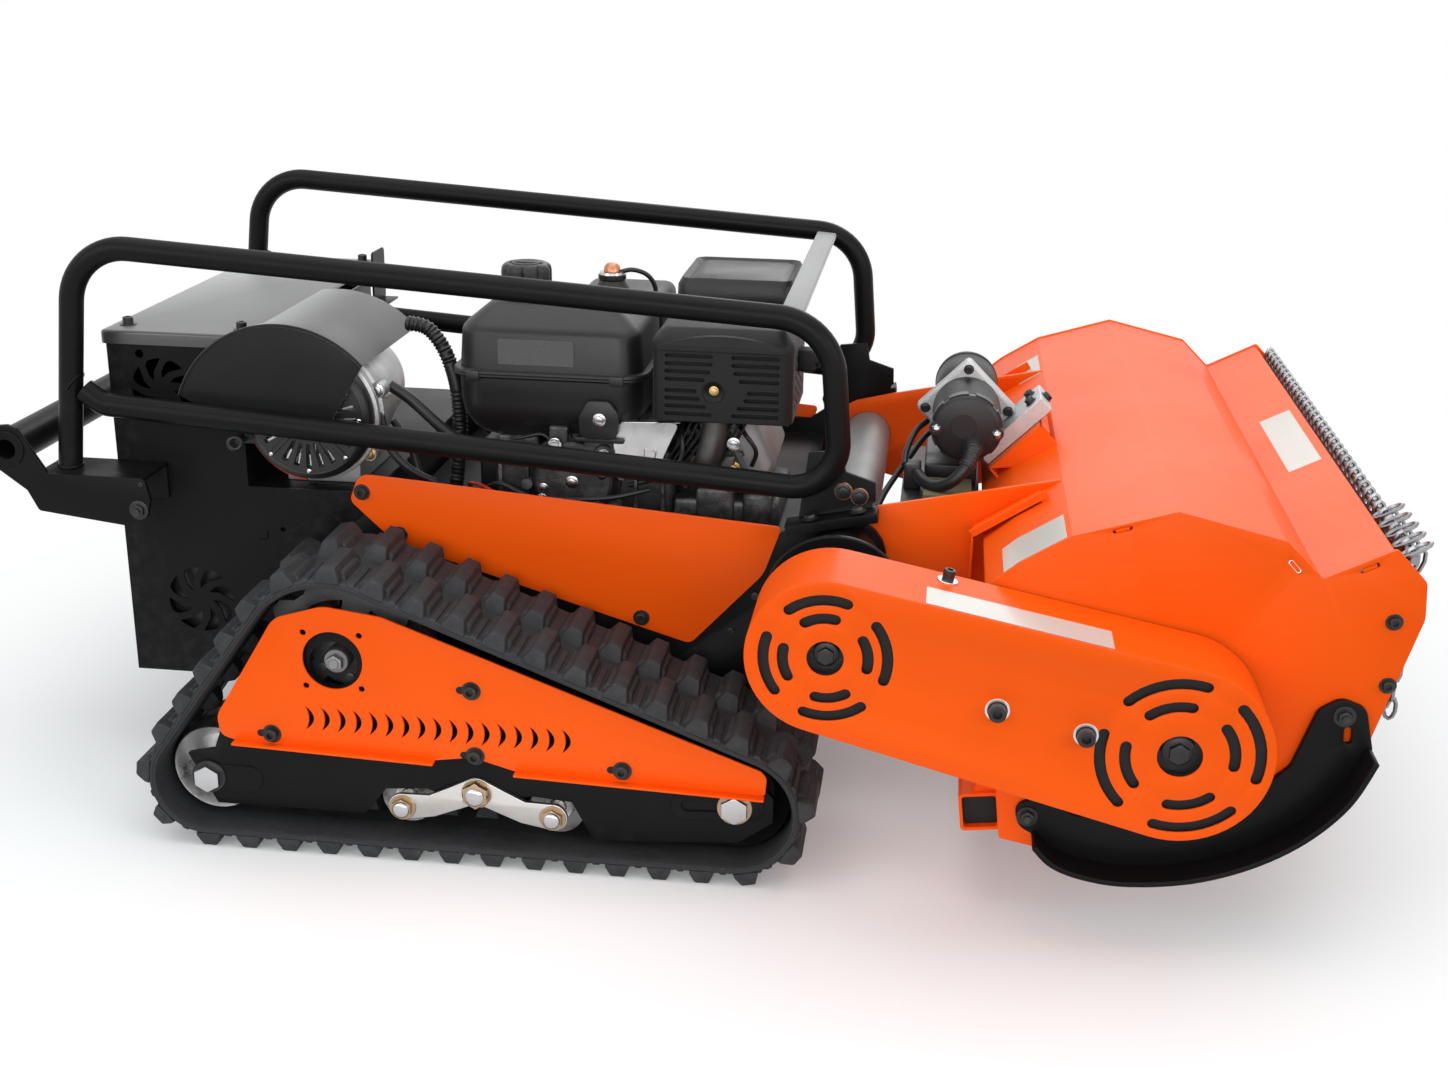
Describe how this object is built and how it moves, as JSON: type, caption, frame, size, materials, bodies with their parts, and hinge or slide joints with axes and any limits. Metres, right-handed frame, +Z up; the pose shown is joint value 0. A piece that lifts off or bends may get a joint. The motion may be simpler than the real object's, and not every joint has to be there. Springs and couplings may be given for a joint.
{
  "type": "tracked flail mower",
  "caption": "Remote-controlled tracked flail mower with rubber crawler tracks, an engine in a roll cage and a hinged, belt-driven cutter head.",
  "frame": {"origin": "bottom centre of the whole machine's bounding box, on the ground under the tracks", "axes": "+X forward towards the cutter head, +Y to the machine's left, +Z up"},
  "size_m": [1.7354, 1.1684, 0.7275],
  "materials": {
    "orange_paint": "gloss",
    "black_paint": "satin",
    "black_plastic": "satin",
    "rubber": "matte",
    "zinc_plate": "satin",
    "cast_metal": "matte",
    "cast_aluminium": "satin"
  },
  "bodies": {
    "chassis": {"air_cleaner": "black_plastic", "battery_pack": "black_plastic", "bumper_bracket_left": "black_paint", "bumper_bracket_right": "black_paint", "bumper_tube": "black_paint", "cable_conduit": "black_plastic", "cage_cross_bar": "black_paint", "cage_side_left": "black_paint", "cage_side_right": "black_paint", "control_box": "black_paint", "control_box_lid": "black_paint", "drive_gearbox_left": "cast_metal", "drive_gearbox_right": "cast_metal", "engine_block": "cast_aluminium", "fuel_tank": "black_plastic", "generator_body": "cast_aluminium", "generator_hood": "black_paint", "jackshaft_bearing": "black_paint", "main_frame": "black_paint", "muffler": "cast_metal", "muffler_shield": "black_paint", "pivot_tower_left": "black_paint", "pivot_tower_right": "black_paint", "pivot_tube": "zinc_plate", "side_panel_left": "orange_paint", "side_panel_right": "orange_paint", "starter_cover": "black_plastic", "starter_handle": "black_plastic", "track_belt_left": "rubber", "track_belt_right": "rubber", "track_frame_left": "black_paint", "track_frame_right": "black_paint", "track_guard_left": "orange_paint", "track_guard_right": "orange_paint"},
    "sprocket_right": {"drive_sprocket_right": "cast_metal"},
    "rear_idler_right_wheel": {"rear_idler_right": "zinc_plate"},
    "front_idler_right_wheel": {"front_idler_right": "black_paint"},
    "rocker_right_arm": {"rocker_right": "zinc_plate"},
    "roller_rear_right_wheel": {"roller_rear_right": "zinc_plate"},
    "roller_front_right_wheel": {"roller_front_right": "zinc_plate"},
    "sprocket_left": {"drive_sprocket_left": "cast_metal"},
    "rear_idler_left_wheel": {"rear_idler_left": "zinc_plate"},
    "front_idler_left_wheel": {"front_idler_left": "black_paint"},
    "rocker_left_arm": {"rocker_left": "zinc_plate"},
    "roller_rear_left_wheel": {"roller_rear_left": "zinc_plate"},
    "roller_front_left_wheel": {"roller_front_left": "zinc_plate"},
    "head": {"mower_deck": "orange_paint", "belt_guard": "orange_paint", "drive_belt": "rubber", "lift_arm_right": "orange_paint", "lift_arm_left": "orange_paint", "skid_right": "black_paint", "skid_left": "black_paint", "lift_motor": "cast_aluminium", "motor_cable": "black_plastic", "chain_curtain": "zinc_plate"},
    "rotor": {"flail_rotor": "cast_metal", "rotor_pulley": "cast_metal"},
    "jackshaft": {"jackshaft_pulley": "cast_metal"},
    "cap": {"fuel_cap": "black_plastic"}
  },
  "joints": [
    {"name": "sprocket_right_spin", "type": "hinge", "parent": "chassis", "child": "sprocket_right", "pos_m": [-0.37525, -0.37415, 0.25], "axis": [0, 1, 0], "continuous": true},
    {"name": "rear_idler_right_spin", "type": "hinge", "parent": "chassis", "child": "rear_idler_right_wheel", "pos_m": [-0.54325, -0.37415, 0.0888], "axis": [0, 1, 0], "continuous": true},
    {"name": "front_idler_right_spin", "type": "hinge", "parent": "chassis", "child": "front_idler_right_wheel", "pos_m": [0.11475, -0.37415, 0.0978], "axis": [0, 1, 0], "continuous": true},
    {"name": "rocker_right_tilt", "type": "hinge", "parent": "chassis", "child": "rocker_right_arm", "pos_m": [-0.20125, -0.37415, 0.095], "axis": [0, 1, 0], "range_deg": [-2.5, 2.5]},
    {"name": "roller_rear_right_spin", "type": "hinge", "parent": "rocker_right_arm", "child": "roller_rear_right_wheel", "pos_m": [-0.29525, -0.37415, 0.0685], "axis": [0, 1, 0], "continuous": true},
    {"name": "roller_front_right_spin", "type": "hinge", "parent": "rocker_right_arm", "child": "roller_front_right_wheel", "pos_m": [-0.10725, -0.37415, 0.0685], "axis": [0, 1, 0], "continuous": true},
    {"name": "sprocket_left_spin", "type": "hinge", "parent": "chassis", "child": "sprocket_left", "pos_m": [-0.37525, 0.44585, 0.25], "axis": [0, 1, 0], "continuous": true},
    {"name": "rear_idler_left_spin", "type": "hinge", "parent": "chassis", "child": "rear_idler_left_wheel", "pos_m": [-0.54325, 0.44585, 0.0888], "axis": [0, 1, 0], "continuous": true},
    {"name": "front_idler_left_spin", "type": "hinge", "parent": "chassis", "child": "front_idler_left_wheel", "pos_m": [0.11475, 0.44585, 0.0978], "axis": [0, 1, 0], "continuous": true},
    {"name": "rocker_left_tilt", "type": "hinge", "parent": "chassis", "child": "rocker_left_arm", "pos_m": [-0.20125, 0.44585, 0.095], "axis": [0, 1, 0], "range_deg": [-2.5, 2.5]},
    {"name": "roller_rear_left_spin", "type": "hinge", "parent": "rocker_left_arm", "child": "roller_rear_left_wheel", "pos_m": [-0.29525, 0.44585, 0.0685], "axis": [0, 1, 0], "continuous": true},
    {"name": "roller_front_left_spin", "type": "hinge", "parent": "rocker_left_arm", "child": "roller_front_left_wheel", "pos_m": [-0.10725, 0.44585, 0.0685], "axis": [0, 1, 0], "continuous": true},
    {"name": "head_lift", "type": "hinge", "parent": "chassis", "child": "head", "pos_m": [0.22475, 0.03585, 0.358], "axis": [0, -1, 0], "range_deg": [-6, 20]},
    {"name": "rotor_spin", "type": "hinge", "parent": "head", "child": "rotor", "pos_m": [0.60575, 0.03585, 0.271], "axis": [0, 1, 0], "continuous": true},
    {"name": "jackshaft_spin", "type": "hinge", "parent": "chassis", "child": "jackshaft", "pos_m": [0.22475, 0.03585, 0.358], "axis": [0, 1, 0], "continuous": true},
    {"name": "fuel_cap_turn", "type": "hinge", "parent": "chassis", "child": "cap", "pos_m": [-0.21325, -0.08015, 0.64], "axis": [0, 0, 1], "range_deg": [0, 90]}
  ],
  "couplings": [
    {"joint": "rear_idler_right_spin", "follows": "sprocket_right_spin", "ratio": 1.7544},
    {"joint": "front_idler_right_spin", "follows": "sprocket_right_spin", "ratio": 1.5152},
    {"joint": "roller_rear_right_spin", "follows": "sprocket_right_spin", "ratio": 2.7778},
    {"joint": "roller_front_right_spin", "follows": "sprocket_right_spin", "ratio": 2.7778},
    {"joint": "rear_idler_left_spin", "follows": "sprocket_left_spin", "ratio": 1.7544},
    {"joint": "front_idler_left_spin", "follows": "sprocket_left_spin", "ratio": 1.5152},
    {"joint": "roller_rear_left_spin", "follows": "sprocket_left_spin", "ratio": 2.7778},
    {"joint": "roller_front_left_spin", "follows": "sprocket_left_spin", "ratio": 2.7778},
    {"joint": "jackshaft_spin", "follows": "rotor_spin", "ratio": 0.86667}
  ]
}
